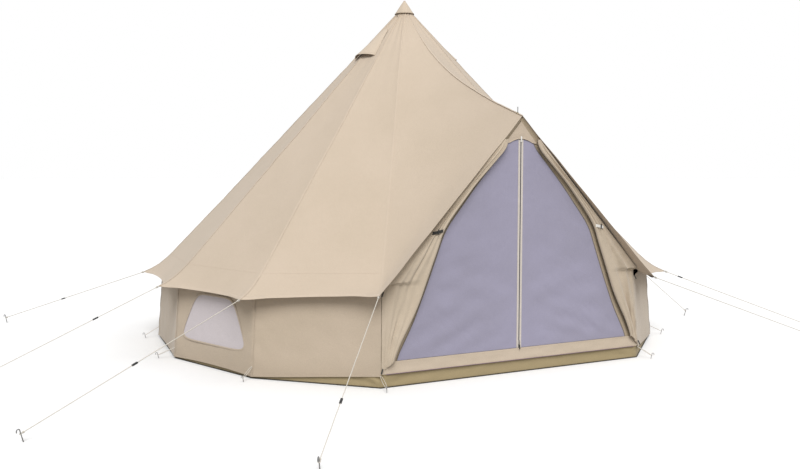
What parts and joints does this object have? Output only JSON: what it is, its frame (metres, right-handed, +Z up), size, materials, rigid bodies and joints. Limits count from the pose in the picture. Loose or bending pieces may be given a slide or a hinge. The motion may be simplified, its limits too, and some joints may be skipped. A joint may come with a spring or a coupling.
{
  "type": "bell tent",
  "caption": "Conical canvas bell tent with low side walls, roof vents, mesh windows, a zipped mesh door under a porch, an inner groundsheet and guy ropes.",
  "frame": {"origin": "under the centre pole, on the underside of the groundsheet", "axes": "+Z up, -Y out through the door, +X to the right of someone facing +Y"},
  "size_m": [7.5474, 6.2644, 3.38],
  "materials": {
    "canvas": "matt cotton canvas",
    "window_mesh": "fine pale mesh",
    "door_mesh": "fine grey-violet insect mesh",
    "groundsheet": "olive coated fabric",
    "zip_tape": "woven tape",
    "zip_chain": "moulded teeth",
    "zip_metal": "satin",
    "webbing": "woven",
    "pole_steel": "galvanised",
    "black_rubber": "matt",
    "guy_cord": "braided cord",
    "slider_plastic": "matt",
    "peg_steel": "galvanised"
  },
  "bodies": {
    "tent": {"roof_canvas": "canvas", "roof_porch": "canvas", "apex_cap": "canvas", "roof_vent_left": "canvas", "roof_vent_right": "canvas", "wall_front_left": "canvas", "wall_front_right": "canvas", "wall_rear_left": "canvas", "wall_rear_right": "canvas", "door_sill": "canvas", "door_gable": "canvas", "door_flap_left": "canvas", "door_flap_right": "canvas", "window_front_left": "window_mesh", "window_front_right": "window_mesh", "window_rear_left": "window_mesh", "window_rear_right": "window_mesh", "groundsheet_floor": "groundsheet", "groundsheet_rim": "groundsheet", "flap_tie_left": "webbing", "flap_tie_right": "webbing", "centre_pole_lower": "pole_steel", "centre_pole_upper": "pole_steel", "frame_leg_left": "pole_steel", "frame_leg_right": "pole_steel", "frame_spike": "pole_steel", "centre_pole_foot": "black_rubber", "centre_pole_cap": "black_rubber", "frame_foot_left": "black_rubber", "frame_foot_right": "black_rubber", "frame_peak_block": "black_rubber", "guy_rope_door_left": "guy_cord", "guy_peg_door_left": "peg_steel", "guy_rope_front_left": "guy_cord", "guy_peg_front_left": "peg_steel", "guy_rope_side_left": "guy_cord", "guy_peg_side_left": "peg_steel", "guy_rope_rear_left": "guy_cord", "guy_peg_rear_left": "peg_steel", "guy_rope_door_right": "guy_cord", "guy_peg_door_right": "peg_steel", "guy_rope_front_right": "guy_cord", "guy_peg_front_right": "peg_steel", "guy_rope_side_right": "guy_cord", "guy_peg_side_right": "peg_steel"},
    "door_left": {"door_mesh_left": "door_mesh", "zip_tape_left": "zip_tape", "zip_chain": "zip_chain"},
    "door_right": {"door_mesh_right": "door_mesh", "zip_tape_right": "zip_tape"},
    "zip_slider": {"zip_slider": "zip_metal"},
    "guy_slider_door_left": {"guy_slider_door_left": "slider_plastic"},
    "guy_slider_front_left": {"guy_slider_front_left": "slider_plastic"},
    "guy_slider_side_left": {"guy_slider_side_left": "slider_plastic"},
    "guy_slider_rear_left": {"guy_slider_rear_left": "slider_plastic"},
    "guy_slider_door_right": {"guy_slider_door_right": "slider_plastic"},
    "guy_slider_front_right": {"guy_slider_front_right": "slider_plastic"},
    "guy_slider_side_right": {"guy_slider_side_right": "slider_plastic"}
  },
  "joints": [
    {"name": "door_left_swing", "type": "hinge", "parent": "tent", "child": "door_left", "pos_m": [-1.12, -2.15006, 0.2], "axis": [0, 0, -1], "range_deg": [0, 55]},
    {"name": "door_right_swing", "type": "hinge", "parent": "tent", "child": "door_right", "pos_m": [1.12, -2.15006, 0.2], "axis": [0, 0, 1], "range_deg": [0, 55]},
    {"name": "zip_slide", "type": "slide", "parent": "door_left", "child": "zip_slider", "axis": [0, 0, 1], "range_m": [0, 1.6]},
    {"name": "guy_slide_door_left", "type": "slide", "parent": "tent", "child": "guy_slider_door_left", "axis": [0.541, 0.7512, 0.3782], "range_m": [-0.3, 0.3]},
    {"name": "guy_slide_front_left", "type": "slide", "parent": "tent", "child": "guy_slider_front_left", "axis": [0.8359, 0.4505, 0.3136], "range_m": [-0.3, 0.3]},
    {"name": "guy_slide_side_left", "type": "slide", "parent": "tent", "child": "guy_slider_side_left", "axis": [0.9115, 0.0789, 0.4038], "range_m": [-0.3, 0.3]},
    {"name": "guy_slide_rear_left", "type": "slide", "parent": "tent", "child": "guy_slider_rear_left", "axis": [0.6195, -0.7266, 0.2969], "range_m": [-0.3, 0.3]},
    {"name": "guy_slide_door_right", "type": "slide", "parent": "tent", "child": "guy_slider_door_right", "axis": [-0.9433, 0.0559, 0.3273], "range_m": [-0.098, 0.3]},
    {"name": "guy_slide_front_right", "type": "slide", "parent": "tent", "child": "guy_slider_front_right", "axis": [-0.8245, 0.4445, 0.3502], "range_m": [-0.3, 0.107]},
    {"name": "guy_slide_side_right", "type": "slide", "parent": "tent", "child": "guy_slider_side_right", "axis": [-0.6901, 0.2993, 0.6589], "range_m": [-0.3, 0.062]}
  ]
}
